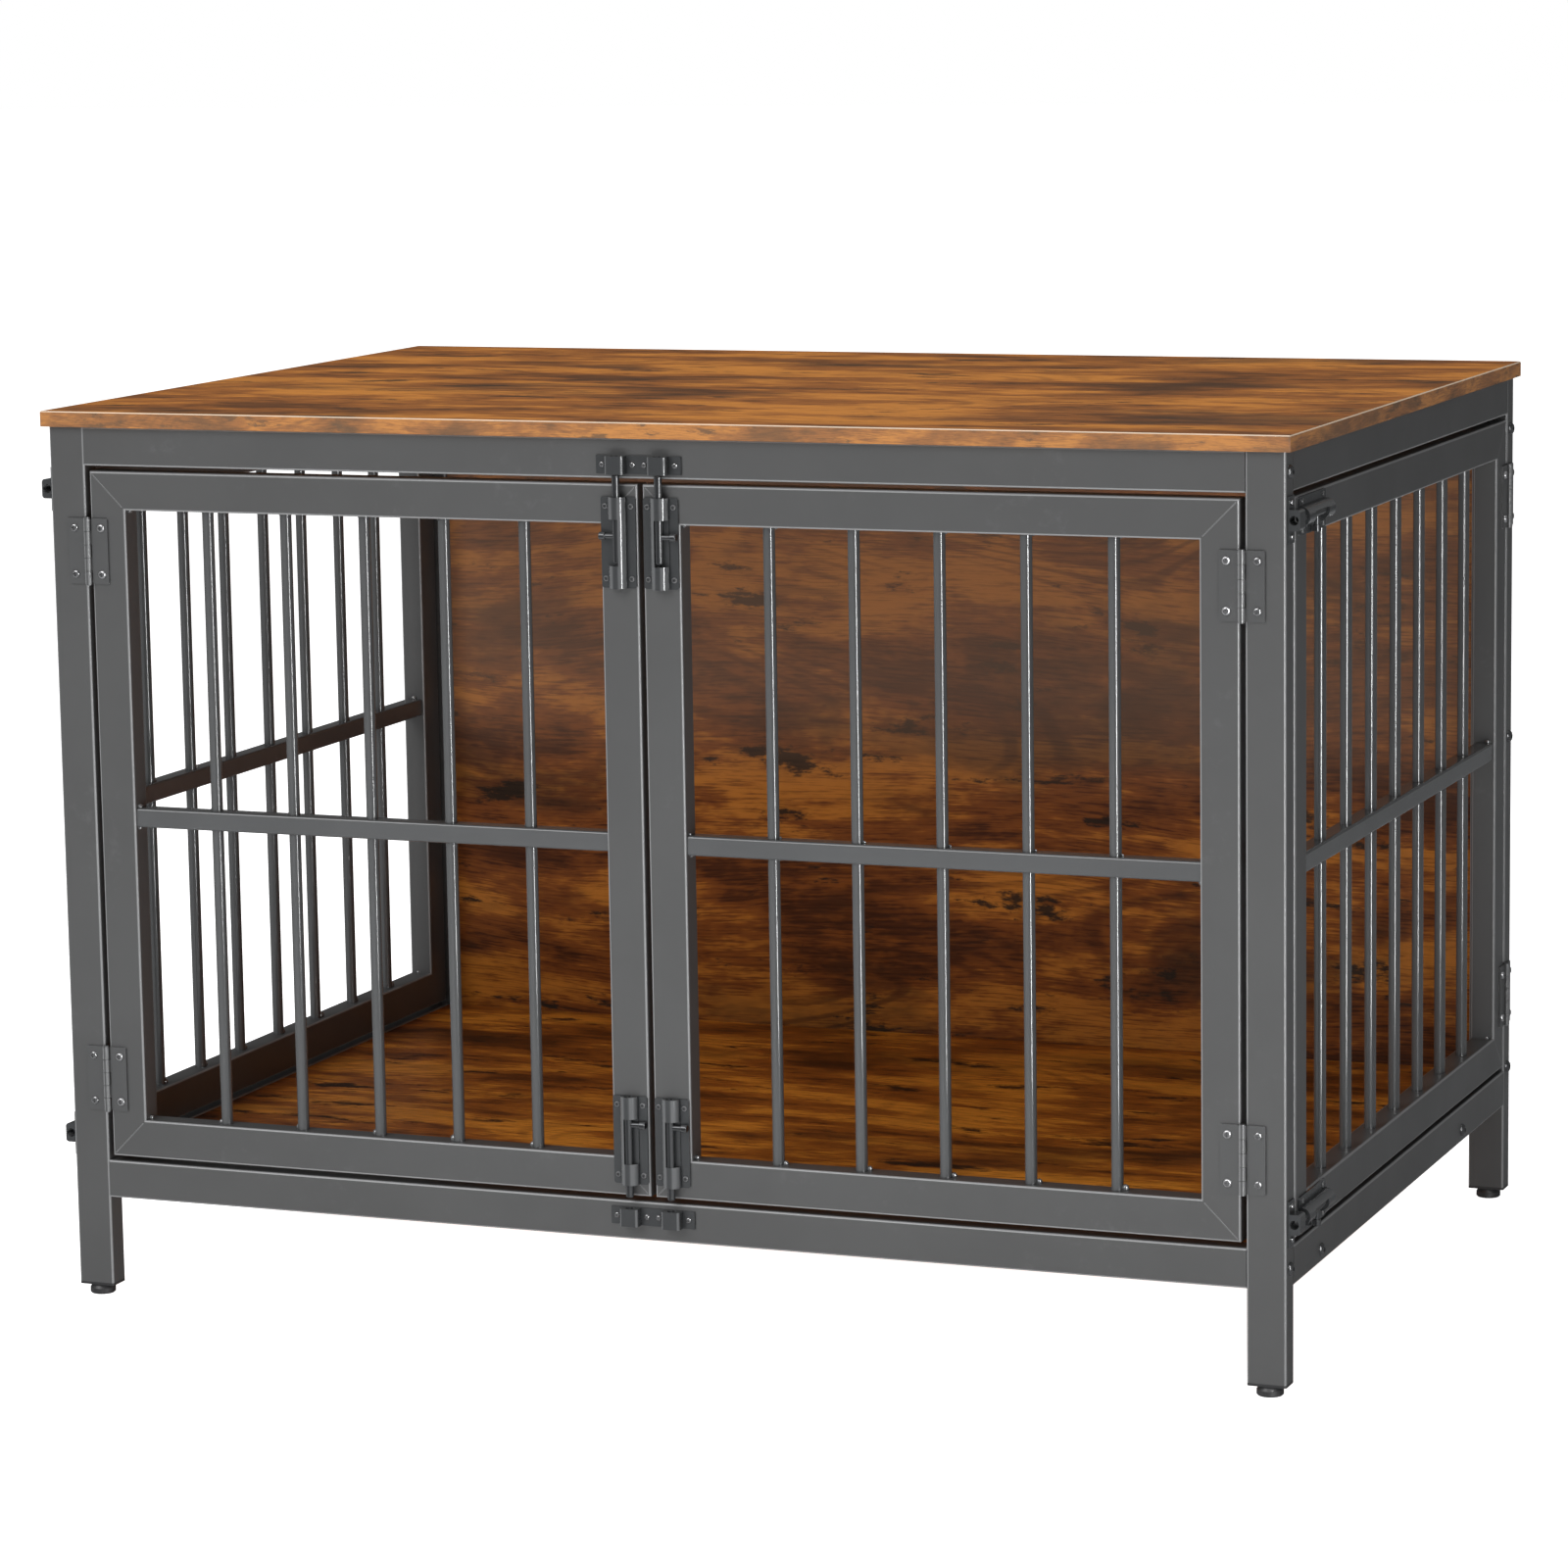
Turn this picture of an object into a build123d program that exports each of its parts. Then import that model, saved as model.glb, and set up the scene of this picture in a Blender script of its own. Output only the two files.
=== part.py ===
from build123d import *
import os

# Furniture-style dog crate: a knock-down frame of rectangular steel tube with a wood top, back
# panel and floor, two doors at the front and one on each side. Millimetres, +Z up, the front
# towards -Y, the origin on the floor under the centre of the crate.

# ---------------------------------------------------------------- driving dimensions
TOP_X = 1000.0
TOP_Y = 680.0
HEIGHT = 700.0
BOARD = 12.0
OVERHANG = 5.0

FRAME_X = TOP_X - 2 * OVERHANG
FRAME_Y = TOP_Y - 2 * OVERHANG
FRAME_TOP = HEIGHT - BOARD
TUBE_WIDE = 30.0
TUBE_DEEP = 20.0
TUBE_WALL = 1.2
TUBE_CORNER = 2.0
POST_FOOT = 10.0
BOTTOM_RAIL = 80.0
TOP_RAIL = FRAME_TOP - TUBE_WIDE

DOOR_GAP = 4.0
DOOR_LOW = BOTTOM_RAIL + TUBE_WIDE + DOOR_GAP
DOOR_HIGH = TOP_RAIL - DOOR_GAP
MID_RAIL = 15.0
BAR_R = 4.5
FRONT_BARS = 5
SIDE_BARS = 7

CROSSBAR_Y = (-243.0, 175.0)
CROSSBAR = 20.0
FLOOR_BOARD = 9.0
BOARD_FIT = 0.5
PANEL_FIT = 0.1

# sheet that the hinge leaves, bolt plates and keeper feet are stamped from
PLATE = 1.5

# hinges
HINGE_TALL = 51.0
HINGE_INSET = 62.0
PIN_R = 1.5
PIN_FIT = 0.05
PIN_OUT = 2.4
PIN_HEAD_R = 2.4
PIN_HEAD = 0.9
KNUCKLE_R = 2.7
KNUCKLES = 5
KNUCKLE_GAP = 0.3
LEAF_REACH = 17.0
LEAF_CORNER = 1.2
LEAF_ROOT = 1.0
LEAF_CLEAR = 3.1
LEAF_SCREW_U = 11.5
LEAF_SCREW_V = 18.0

# barrel bolts and keepers
BOLT_LONG = 68.0
BOLT_PLATE = 28.0
BARREL_WIDE = 14.0
BARREL_HIGH = 9.4
BARREL_SIDE = 3.4
PLATE_CORNER = 2.0
BOLT_INSET = 9.5
SIDE_BOLT_INSET = 6.0
ROD_R = 3.0
ROD_OUT = 5.0
ROD_FIT = 0.06
ROD_TAIL = 20.0
ROD_CHAMFER = 0.8
WINDOW_BACK = -17.0
WINDOW_FRONT = 17.6
STEM_R = 2.0
STEM_CLEAR = 0.5
KNOB_R = 3.0
KNOB_START = 9.0
KNOB_REACH = 14.0
KNOB_ROUND = 0.8
UPPER_KNOB_X = 5.0
LOWER_KNOB_X = -12.5
SIDE_KNOB_X = 1.3
BOLT_SCREW_X = 27.0
BOLT_SCREW_Y = 10.4
KEEPER_LONG = 13.5
KEEPER_WIDE = 34.0
KEEPER_HUMP = 15.0
KEEPER_HIGH = 9.6
KEEPER_SCREW_Y = 12.2
KEEPER_HOLE_R = 3.4
KEEPER_ROUND = 2.5
KEEPER_STANDOFF = 3.6
LOWER_KEEPER_DROP = 1.0
TIP_SHORT = 0.7

# fasteners
SCREW_HEAD_R = 3.1
SCREW_HEAD_HIGH = 1.7
SCREW_SHANK_R = 1.6
SCREW_LONG = 7.0
SMALL_HEAD_R = 2.1
SMALL_HEAD_HIGH = 1.2
SMALL_SHANK_R = 1.1
HOLE_FIT = 0.1
BOLT_HEAD_R = 5.0
BOLT_HEAD_HIGH = 2.8
BOLT_CROWN_R = 2.5
BOLT_SHANK_R = 3.0
BOLT_TIP = 1.0
SOCKET_R = 2.0
SOCKET_DEEP = 1.9
HOLE_DEPTH = 5.0
FRONT_BOLT_Z = (BOTTOM_RAIL + TUBE_WIDE / 2, TOP_RAIL + TUBE_WIDE / 2)
BACK_BOLT_Z = (112.0, 391.0, 646.0)
PANEL_BOLT = 18.0

# tabletop screws, and the wider hole below each one for the driver
TOP_SCREW_R = 2.0
TOP_SCREW_HEAD_R = 3.8
TOP_SCREW_HEAD = 2.2
TOP_SCREW_LONG = 9.2
ACCESS_R = 4.6
TOP_CORNER = 1.5
TOP_CHAMFER = 0.8

# levelling feet
PLUG_LONG = 20.0
PLUG_CAP = 2.0
PLUG_FIT = 0.1
NUT_PLUG = 14.0
FOOT_R = 10.0
FOOT_HIGH = 7.6
FOOT_EDGE = 1.0
FOOT_RIM = 4.5
FOOT_TAPER = 2.0
STEM_M8_R = 4.0
STEM_M8_LONG = 32.0


# The crate's faces: x runs left to right as seen from outside, y is up, z points outwards.
FRONT = Plane(origin=(0, -FRAME_Y / 2, 0), x_dir=(1, 0, 0), z_dir=(0, -1, 0))
RIGHT = Plane(origin=(FRAME_X / 2, 0, 0), x_dir=(0, 1, 0), z_dir=(1, 0, 0))
LEFT = Plane(origin=(-FRAME_X / 2, 0, 0), x_dir=(0, -1, 0), z_dir=(-1, 0, 0))

FRONT_PIN = FRAME_X / 2 - TUBE_WIDE - DOOR_GAP / 2
SIDE_PIN = FRAME_Y / 2 - TUBE_DEEP - DOOR_GAP / 2
FRONT_FREE = DOOR_GAP / 2
SIDE_FREE = SIDE_PIN - DOOR_GAP / 2

# Each door: the face it lies on, the u of its hinge pin, which way it reaches from the pin,
# the u of its free edge, and its number of bars.
DOORS = {
    "left_front_door": (FRONT, -FRONT_PIN, 1, -FRONT_FREE, FRONT_BARS),
    "right_front_door": (FRONT, FRONT_PIN, -1, FRONT_FREE, FRONT_BARS),
    "right_side_door": (RIGHT, SIDE_PIN, -1, -SIDE_FREE, SIDE_BARS),
    "left_side_door": (LEFT, -SIDE_PIN, 1, SIDE_FREE, SIDE_BARS),
}
HINGE_V = (DOOR_LOW + HINGE_INSET, DOOR_HIGH - HINGE_INSET)


def on_face(face, u, v, out=0.0):
    """The face's own plane, moved to a point on it."""
    return Plane(origin=face.from_local_coords((u, v, out)), x_dir=face.x_dir, z_dir=face.z_dir)


def turned(face, u, v, along):
    """A plane at a point on a face, with x along the given direction and z outwards."""
    return Plane(origin=face.from_local_coords((u, v, 0)), x_dir=along, z_dir=face.z_dir)


def offset_plane(frame, x, y, z=0.0):
    """A plane parallel to the given one, moved in that plane's own axes."""
    return Plane(origin=frame.from_local_coords((x, y, z)), x_dir=frame.x_dir, z_dir=frame.z_dir)


def end_plane(frame, x, y=0.0, z=0.0):
    """A plane across the given frame's x axis: its x is the frame's y, its y is the frame's z."""
    return Plane(origin=frame.from_local_coords((x, y, z)), x_dir=frame.y_dir, z_dir=frame.x_dir)


def stile_u(free_edge, reach):
    """The middle of the stile at a door's free edge."""
    return free_edge - reach * TUBE_WIDE / 2


def bolt_frames(name):
    """The door's two barrel bolts: body plane (x towards the keeper) and keeper plane."""
    face, pin_u, reach, free_edge, bars = DOORS[name]
    up = Vector(0, 0, 1)
    if face is FRONT:
        u = stile_u(free_edge, reach)
        body = BOLT_INSET + BOLT_LONG / 2
        upper_mouth = DOOR_GAP + KEEPER_STANDOFF + KEEPER_LONG / 2
        lower_mouth = upper_mouth + LOWER_KEEPER_DROP
        return {
            "upper": (turned(face, u, DOOR_HIGH - body, up), turned(face, u, DOOR_HIGH + upper_mouth, up)),
            "lower": (turned(face, u, DOOR_LOW + body, -up), turned(face, u, DOOR_LOW - lower_mouth, -up)),
        }
    along = face.x_dir * reach
    body_u = free_edge - reach * (SIDE_BOLT_INSET + BOLT_LONG / 2)
    keeper_u = free_edge + reach * (DOOR_GAP + TUBE_DEEP / 2)
    high_v = DOOR_HIGH - TUBE_WIDE / 2
    low_v = DOOR_LOW + TUBE_WIDE / 2
    return {
        "upper": (turned(face, body_u, high_v, along), turned(face, keeper_u, high_v, along)),
        "lower": (turned(face, body_u, low_v, along), turned(face, keeper_u, low_v, along)),
    }


def knob_place(name, end):
    """Where a bolt's knob sits along its body, and how far the tip reaches past the knob."""
    body, keeper = bolt_frames(name)[end]
    if DOORS[name][0] is FRONT and end == "lower":
        tip = BOLT_LONG / 2 + BOLT_INSET
        return LOWER_KNOB_X, tip - LOWER_KNOB_X
    mouth = body.to_local_coords(keeper.origin).X - KEEPER_LONG / 2
    knob_x = UPPER_KNOB_X if DOORS[name][0] is FRONT else SIDE_KNOB_X
    return knob_x, mouth - TIP_SHORT - knob_x


# The way each knob points at rest, in its body plane's y.
KNOB_SIDE = {
    ("left_front_door", "upper"): 1,
    ("right_front_door", "upper"): -1,
    ("left_front_door", "lower"): 1,
    ("right_front_door", "lower"): 1,
    ("right_side_door", "upper"): 1,
    ("right_side_door", "lower"): 1,
    ("left_side_door", "upper"): -1,
    ("left_side_door", "lower"): -1,
}


# ---------------------------------------------------------------- shared shapes
def drill(plane, points, radius, depth):
    """Cut round holes into the part that is being built, square to the plane."""
    with BuildSketch(plane) as holes:
        with Locations(*points):
            Circle(radius)
    extrude(holes.sketch, amount=-depth, mode=Mode.SUBTRACT)


def straight_tube(plane, wide, high, length):
    """Open hollow tube from the plane along its normal."""
    with BuildPart() as tube:
        with BuildSketch(plane):
            RectangleRounded(wide, high, TUBE_CORNER)
            RectangleRounded(wide - 2 * TUBE_WALL, high - 2 * TUBE_WALL, TUBE_CORNER - TUBE_WALL,
                             mode=Mode.SUBTRACT)
        extrude(amount=length)
    return tube.part


def outline(points):
    """Closed straight-sided face in the sketch that is being drawn."""
    with BuildLine() as edge:
        Polyline(*points, close=True)
    make_face(edge.edges())


def recessed_head(head_r, head_high, shank_r, shank_long):
    """Pan-head screw, its seat at z = 0, with a cross recess in its flat crown."""
    crown = 0.62
    arm = 0.55 * head_r
    with BuildPart() as screw:
        with BuildSketch(Plane.XZ):
            with BuildLine():
                Polyline((head_r, 0), (shank_r, 0), (shank_r, 0.6 - shank_long), (0, -shank_long),
                         (0, head_high), (crown * head_r, head_high))
                ThreePointArc((crown * head_r, head_high), (0.92 * head_r, 0.66 * head_high), (head_r, 0))
            make_face()
        revolve(axis=Axis.Z)
        with BuildSketch(Plane.XY.offset(head_high)):
            Rectangle(2 * arm, 0.5 * arm)
            Rectangle(0.5 * arm, 2 * arm)
        extrude(amount=-0.6 * head_high, mode=Mode.SUBTRACT)
    return screw.part


def socket_bolt(length):
    """Button-head bolt, its seat at z = 0, with a hexagon socket."""
    with BuildPart() as bolt:
        with BuildSketch(Plane.XZ):
            with BuildLine():
                Polyline((BOLT_HEAD_R, 0), (BOLT_SHANK_R, 0), (BOLT_SHANK_R, BOLT_TIP - length),
                         (BOLT_SHANK_R - BOLT_TIP, -length), (0, -length), (0, BOLT_HEAD_HIGH),
                         (BOLT_CROWN_R, BOLT_HEAD_HIGH))
                ThreePointArc((BOLT_CROWN_R, BOLT_HEAD_HIGH), (0.86 * BOLT_HEAD_R, 0.62 * BOLT_HEAD_HIGH),
                              (BOLT_HEAD_R, 0))
            make_face()
        revolve(axis=Axis.Z)
        with BuildSketch(Plane.XY.offset(BOLT_HEAD_HIGH)):
            RegularPolygon(SOCKET_R, 6)
        extrude(amount=-SOCKET_DEEP, mode=Mode.SUBTRACT)
    return bolt.part


def placed(shape, planes):
    """Copies of one fastener, seated on each plane."""
    with BuildPart() as group:
        with Locations(*planes):
            add(shape)
    return group.part


def save(part, label):
    part.label = label
    export_step(part, "parts/" + label + ".step")


def save_group(pieces, label):
    """Separate solids that touch but stay separate, in one node."""
    solids = [solid for piece in pieces for solid in piece.solids()]
    save(Compound(label=label, children=solids), label)


os.makedirs("parts", exist_ok=True)

# ---------------------------------------------------------------- screw places
def hinge_screw_points(pin_u, reach):
    u = pin_u + reach * LEAF_SCREW_U
    return [(u, v + dv) for v in HINGE_V for dv in (-LEAF_SCREW_V, LEAF_SCREW_V)]


def bolt_screw_planes(name, out):
    planes = []
    for body, keeper in bolt_frames(name).values():
        for x in (-BOLT_SCREW_X, BOLT_SCREW_X):
            for y in (-BOLT_SCREW_Y, BOLT_SCREW_Y):
                planes.append(offset_plane(body, x, y, out))
    return planes


def keeper_screw_planes(name, out):
    planes = []
    for body, keeper in bolt_frames(name).values():
        for y in (-KEEPER_SCREW_Y, KEEPER_SCREW_Y):
            planes.append(offset_plane(keeper, 0, y, out))
    return planes


def as_points(face, planes):
    """Plane origins as (u, v) on a face."""
    local = [face.to_local_coords(plane.origin) for plane in planes]
    return [(p.X, p.Y) for p in local]


SCREW_HOLE_R = SCREW_SHANK_R + HOLE_FIT
SMALL_HOLE_R = SMALL_SHANK_R + HOLE_FIT
BOLT_HOLE_R = BOLT_SHANK_R + HOLE_FIT

# ---------------------------------------------------------------- posts
CROSSBAR_Z = BOTTOM_RAIL + CROSSBAR / 2
POST_X = (FRAME_X - TUBE_WIDE) / 2
POST_Y = (FRAME_Y - TUBE_DEEP) / 2
POST_LONG = FRAME_TOP - POST_FOOT
SIDE_RAIL_X = (FRAME_X - TUBE_DEEP) / 2
INSIDE_X = FRAME_X / 2 - TUBE_WIDE
INSIDE_Y = FRAME_Y / 2 - TUBE_DEEP
BETWEEN_RAILS = FRAME_X / 2 - TUBE_DEEP
THROUGH = TUBE_WIDE + 1.0

# Each side: its sign along X, its outer face, its side door and its front door.
SIDES = {
    "left": (-1, LEFT, "left_side_door", "left_front_door"),
    "right": (1, RIGHT, "right_side_door", "right_front_door"),
}

for side, (sign, face, side_door, front_door) in SIDES.items():
    with BuildPart() as front_post:
        foot = Plane(origin=(sign * POST_X, -POST_Y, POST_FOOT))
        add(straight_tube(foot, TUBE_WIDE, TUBE_DEEP, POST_LONG))
        pin_u, reach = DOORS[front_door][1:3]
        drill(FRONT, hinge_screw_points(pin_u, -reach), SCREW_HOLE_R, HOLE_DEPTH)
        drill(face, as_points(face, keeper_screw_planes(side_door, 0)), SMALL_HOLE_R, HOLE_DEPTH)
        drill(face, [(-sign * POST_Y, z) for z in FRONT_BOLT_Z], BOLT_HOLE_R, THROUGH)
    save(front_post.part, "front_" + side + "_post")

    with BuildPart() as back_post:
        foot = Plane(origin=(sign * POST_X, POST_Y, POST_FOOT))
        add(straight_tube(foot, TUBE_WIDE, TUBE_DEEP, POST_LONG))
        pin_u, reach = DOORS[side_door][1:3]
        drill(face, hinge_screw_points(pin_u, -reach), SCREW_HOLE_R, HOLE_DEPTH)
        drill(face, [(sign * POST_Y, z) for z in BACK_BOLT_Z], BOLT_HOLE_R, THROUGH)
    save(back_post.part, "back_" + side + "_post")

# ---------------------------------------------------------------- rails
FRONT_SCREWS = [(x, -POST_Y) for x in (-380.0, 0.0, 380.0)]
SIDE_SCREWS = {sign: [(sign * SIDE_RAIL_X, y) for y in (-220.0, 0.0, 220.0)] for sign in (-1, 1)}


def drill_for_top(points):
    """Screw holes up through a top rail, for the screws that hold the tabletop."""
    drill(Plane.XY.offset(FRAME_TOP + 1), points, TOP_SCREW_R + HOLE_FIT, TUBE_WIDE / 2)
    drill(Plane.XY.offset(TOP_RAIL + TUBE_WIDE / 2), points, ACCESS_R, TUBE_WIDE)


front_doors = ("left_front_door", "right_front_door")
front_keepers = [plane for door in front_doors for plane in keeper_screw_planes(door, 0)]

for label, low in (("front_top_rail", TOP_RAIL), ("front_bottom_rail", BOTTOM_RAIL)):
    with BuildPart() as front_rail:
        start = Plane(origin=(-INSIDE_X, -POST_Y, low + TUBE_WIDE / 2), x_dir=(0, 1, 0), z_dir=(1, 0, 0))
        add(straight_tube(start, TUBE_DEEP, TUBE_WIDE, 2 * INSIDE_X))
        drill(FRONT, as_points(FRONT, front_keepers), SMALL_HOLE_R, HOLE_DEPTH)
        if low == TOP_RAIL:
            drill_for_top(FRONT_SCREWS)
    save(front_rail.part, label)

for side, (sign, face, side_door, front_door) in SIDES.items():
    with BuildPart() as side_rails:
        for low in (BOTTOM_RAIL, TOP_RAIL):
            origin = (sign * SIDE_RAIL_X, -INSIDE_Y, low + TUBE_WIDE / 2)
            start = Plane(origin=origin, x_dir=(1, 0, 0), z_dir=(0, 1, 0))
            add(straight_tube(start, TUBE_DEEP, TUBE_WIDE, 2 * INSIDE_Y))
        drill(face, [(sign * y, CROSSBAR_Z) for y in CROSSBAR_Y], BOLT_HOLE_R, THROUGH)
        drill_for_top(SIDE_SCREWS[sign])
    save(side_rails.part, side + "_side_rails")

with BuildPart() as floor_crossbars:
    for y in CROSSBAR_Y:
        start = Plane(origin=(-BETWEEN_RAILS, y, CROSSBAR_Z), x_dir=(0, 1, 0), z_dir=(1, 0, 0))
        add(straight_tube(start, CROSSBAR, CROSSBAR, 2 * BETWEEN_RAILS))
save(floor_crossbars.part, "floor_crossbars")

# ---------------------------------------------------------------- boards
with BuildPart() as tabletop:
    with BuildSketch(Plane.XY.offset(FRAME_TOP)):
        RectangleRounded(TOP_X, TOP_Y, TOP_CORNER)
    extrude(amount=BOARD)
    chamfer(tabletop.faces().sort_by(Axis.Z)[-1].edges(), TOP_CHAMFER)
    drill(Plane.XY.offset(FRAME_TOP + TOP_SCREW_LONG), FRONT_SCREWS + SIDE_SCREWS[-1] + SIDE_SCREWS[1],
          TOP_SCREW_R + HOLE_FIT, TOP_SCREW_LONG + 1)
save(tabletop.part, "tabletop")

PANEL_X = INSIDE_X - PANEL_FIT
with BuildPart() as back_panel:
    with BuildSketch(Plane.XY.offset(BOTTOM_RAIL)):
        with Locations((0, POST_Y)):
            Rectangle(2 * PANEL_X, BOARD)
    extrude(amount=FRAME_TOP - BOTTOM_RAIL)
    for sign, face in ((-1, LEFT), (1, RIGHT)):
        edge = face.offset(PANEL_X - FRAME_X / 2)
        drill(edge, [(sign * POST_Y, z) for z in BACK_BOLT_Z], BOLT_HOLE_R, PANEL_BOLT + 2)
save(back_panel.part, "back_panel")

FLOOR_LOW = BOTTOM_RAIL + CROSSBAR
FLOOR_BACK = POST_Y - BOARD / 2 - BOARD_FIT
with BuildPart() as floor_board:
    with BuildSketch(Plane.XY.offset(FLOOR_LOW)):
        Rectangle(2 * (BETWEEN_RAILS - BOARD_FIT), 2 * (INSIDE_Y - BOARD_FIT))
        with Locations((0, FLOOR_BACK / 2)):
            Rectangle(2 * (INSIDE_X - BOARD_FIT), FLOOR_BACK)
    extrude(amount=FLOOR_BOARD)
save(floor_board.part, "floor_board")

# ---------------------------------------------------------------- plugs and feet
INNER_WIDE = TUBE_WIDE - 2 * TUBE_WALL - PLUG_FIT
INNER_DEEP = TUBE_DEEP - 2 * TUBE_WALL - PLUG_FIT
INNER_SQUARE = CROSSBAR - 2 * TUBE_WALL - PLUG_FIT
INNER_CORNER = TUBE_CORNER - TUBE_WALL
CORNERS = {
    "front_left": (-POST_X, -POST_Y),
    "front_right": (POST_X, -POST_Y),
    "back_left": (-POST_X, POST_Y),
    "back_right": (POST_X, POST_Y),
}

with BuildPart() as leg_plugs:
    with BuildSketch(Plane.XY.offset(POST_FOOT)):
        with Locations(*CORNERS.values()):
            RectangleRounded(INNER_WIDE, INNER_DEEP, INNER_CORNER)
    extrude(amount=PLUG_LONG)
    with BuildSketch(Plane.XY.offset(POST_FOOT)):
        with Locations(*CORNERS.values()):
            RectangleRounded(TUBE_WIDE, TUBE_DEEP, TUBE_CORNER)
    extrude(amount=-PLUG_CAP)
    plug_top = Plane.XY.offset(POST_FOOT + PLUG_LONG)
    drill(plug_top, CORNERS.values(), STEM_M8_R + ROD_FIT, PLUG_LONG + PLUG_CAP)
save(leg_plugs.part, "leg_plugs")

for corner, (x, y) in CORNERS.items():
    with BuildPart() as foot:
        with BuildSketch(Plane(origin=(x, y, 0), x_dir=(1, 0, 0), z_dir=(0, -1, 0))):
            outline([(0, 0), (FOOT_R - FOOT_EDGE, 0), (FOOT_R, FOOT_EDGE), (FOOT_R, FOOT_RIM),
                     (FOOT_R - FOOT_TAPER, FOOT_HIGH), (STEM_M8_R, FOOT_HIGH),
                     (STEM_M8_R, STEM_M8_LONG - FOOT_EDGE), (STEM_M8_R - FOOT_EDGE, STEM_M8_LONG),
                     (0, STEM_M8_LONG)])
        revolve(axis=Axis((x, y, 0), (0, 0, 1)))
    save(foot.part, corner + "_levelling_foot")

# Threaded plugs in the tube ends that the frame bolts pull against.
with BuildPart() as threaded_plugs:
    for sign in (-1, 1):
        for low in (BOTTOM_RAIL, TOP_RAIL):
            origin = (sign * INSIDE_X, -POST_Y, low + TUBE_WIDE / 2)
            start = Plane(origin=origin, x_dir=(0, 1, 0), z_dir=(-sign, 0, 0))
            with BuildSketch(start):
                RectangleRounded(INNER_DEEP, INNER_WIDE, INNER_CORNER)
                Circle(BOLT_HOLE_R, mode=Mode.SUBTRACT)
            extrude(amount=NUT_PLUG)
        for y in CROSSBAR_Y:
            start = Plane(origin=(sign * BETWEEN_RAILS, y, CROSSBAR_Z), x_dir=(0, 1, 0), z_dir=(-sign, 0, 0))
            with BuildSketch(start):
                RectangleRounded(INNER_SQUARE, INNER_SQUARE, INNER_CORNER)
                Circle(BOLT_HOLE_R, mode=Mode.SUBTRACT)
            extrude(amount=NUT_PLUG)
save(threaded_plugs.part, "threaded_plugs")

# ---------------------------------------------------------------- frame fasteners
rail_bolt = socket_bolt(TUBE_WIDE + NUT_PLUG - 1)
panel_bolt = socket_bolt(TUBE_WIDE + PANEL_BOLT)
crossbar_bolt = socket_bolt(TUBE_DEEP + NUT_PLUG - 1)
with BuildPart() as frame_bolts:
    for side, (sign, face, side_door, front_door) in SIDES.items():
        add(placed(rail_bolt, [on_face(face, -sign * POST_Y, z) for z in FRONT_BOLT_Z]))
        add(placed(panel_bolt, [on_face(face, sign * POST_Y, z) for z in BACK_BOLT_Z]))
        add(placed(crossbar_bolt, [on_face(face, sign * y, CROSSBAR_Z) for y in CROSSBAR_Y]))
save(frame_bolts.part, "frame_bolts")

hinge_screw = recessed_head(SCREW_HEAD_R, SCREW_HEAD_HIGH, SCREW_SHANK_R, SCREW_LONG)
small_screw = recessed_head(SMALL_HEAD_R, SMALL_HEAD_HIGH, SMALL_SHANK_R, SCREW_LONG)
top_screw = recessed_head(TOP_SCREW_HEAD_R, TOP_SCREW_HEAD, TOP_SCREW_R, TOP_SCREW_LONG)

TOP_SEAT = FRAME_TOP - TUBE_WALL
top_places = [Plane(origin=(x, y, TOP_SEAT), x_dir=(1, 0, 0), z_dir=(0, 0, -1))
              for x, y in FRONT_SCREWS + SIDE_SCREWS[-1] + SIDE_SCREWS[1]]
save(placed(top_screw, top_places), "tabletop_screws")

with BuildPart() as frame_screws:
    for face, pin_u, reach, free_edge, bars in DOORS.values():
        points = hinge_screw_points(pin_u, -reach)
        add(placed(hinge_screw, [on_face(face, u, v, PLATE) for u, v in points]))
    for name in DOORS:
        add(placed(small_screw, keeper_screw_planes(name, PLATE)))
save(frame_screws.part, "frame_screws")


# ---------------------------------------------------------------- hinges
def hinge_leaf(face, pin_u, mid_v, toward, own):
    """One leaf on its side of the pin, with its own knuckles."""
    low = mid_v - HINGE_TALL / 2
    pitch = HINGE_TALL / KNUCKLES
    pin = on_face(face, pin_u, 0, PIN_OUT).origin
    with BuildPart() as leaf:
        with BuildSketch(face):
            with Locations((pin_u + toward * (LEAF_CLEAR + LEAF_REACH) / 2, mid_v)):
                RectangleRounded(LEAF_REACH - LEAF_CLEAR, HINGE_TALL, LEAF_CORNER)
            for k in own:
                with Locations((pin_u + toward * (LEAF_ROOT + LEAF_CLEAR + 1) / 2, low + (k + 0.5) * pitch)):
                    Rectangle(LEAF_CLEAR + 1 - LEAF_ROOT, pitch - KNUCKLE_GAP)
        extrude(amount=PLATE)
        for k in own:
            with BuildSketch(Plane.XY.offset(low + k * pitch + KNUCKLE_GAP / 2)):
                with Locations((pin.X, pin.Y)):
                    Circle(KNUCKLE_R)
            extrude(amount=pitch - KNUCKLE_GAP)
        drill(Plane.XY.offset(low + HINGE_TALL + 1), [(pin.X, pin.Y)], PIN_R + PIN_FIT, HINGE_TALL + 2)
        drill(face.offset(PLATE + 1), hinge_screw_points(pin_u, toward), SCREW_HOLE_R, PLATE + 2)
    return leaf.part


FRAME_KNUCKLES = (0, 2, 4)
DOOR_KNUCKLES = (1, 3)

frame_leaves = [hinge_leaf(face, pin_u, v, -reach, FRAME_KNUCKLES)
                for face, pin_u, reach, free_edge, bars in DOORS.values() for v in HINGE_V]
save_group(frame_leaves, "hinge_frame_leaves")

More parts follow.
